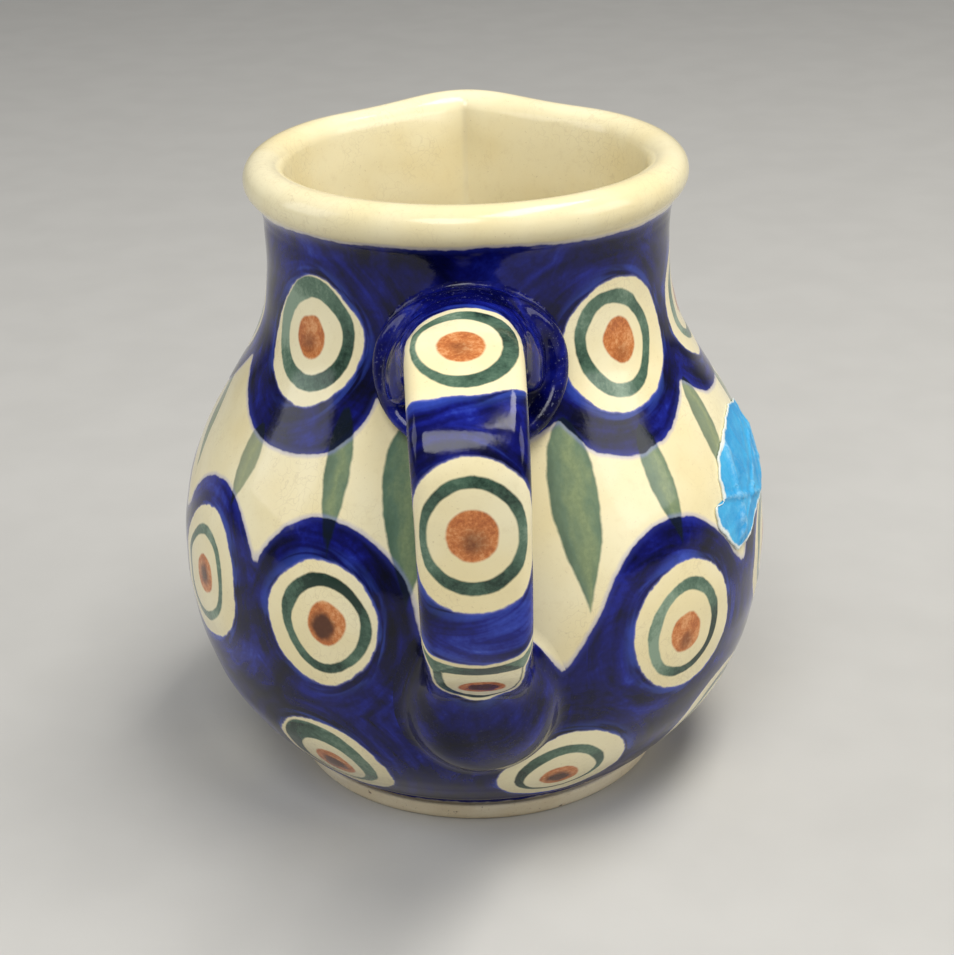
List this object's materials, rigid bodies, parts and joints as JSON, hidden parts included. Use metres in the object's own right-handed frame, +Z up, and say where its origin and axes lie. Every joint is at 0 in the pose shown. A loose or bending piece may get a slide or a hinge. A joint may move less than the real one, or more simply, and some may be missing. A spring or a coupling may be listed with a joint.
{
  "type": "stoneware cream jug",
  "caption": "Round-bellied glazed stoneware jug with a narrow neck, rolled lip, small pinched spout, flat strap handle and a low foot ring.",
  "frame": {"origin": "bottom centre of the object's bounding box, on the surface it stands on; the pot's turning axis is at x = 0, y = 9.87 mm", "axes": "+Z up along the pot's axis, -Y towards the handle, +Y towards the spout, +X to the right when the handle faces the viewer"},
  "size_m": [0.0852, 0.1049, 0.0917],
  "materials": {
    "vessel_glaze": "glossy clear glaze over cream slip, painted with mottled cobalt, green and rust",
    "foot_clay": "dry cream clay, wiped free of glaze",
    "handle_glaze": "glossy clear glaze over cobalt bands and ringed dots",
    "collar_glaze": "glossy dark cobalt glaze",
    "pad_glaze": "glossy dark cobalt glaze",
    "label_paper": "satin coloured paper, wrinkled, torn at the edges"
  },
  "bodies": {
    "root": {"vessel_body": "vessel_glaze", "foot_ring": "foot_clay", "strap_handle": "handle_glaze", "upper_handle_collar": "collar_glaze", "lower_handle_pad": "pad_glaze", "paper_label": "label_paper"}
  },
  "joints": []
}
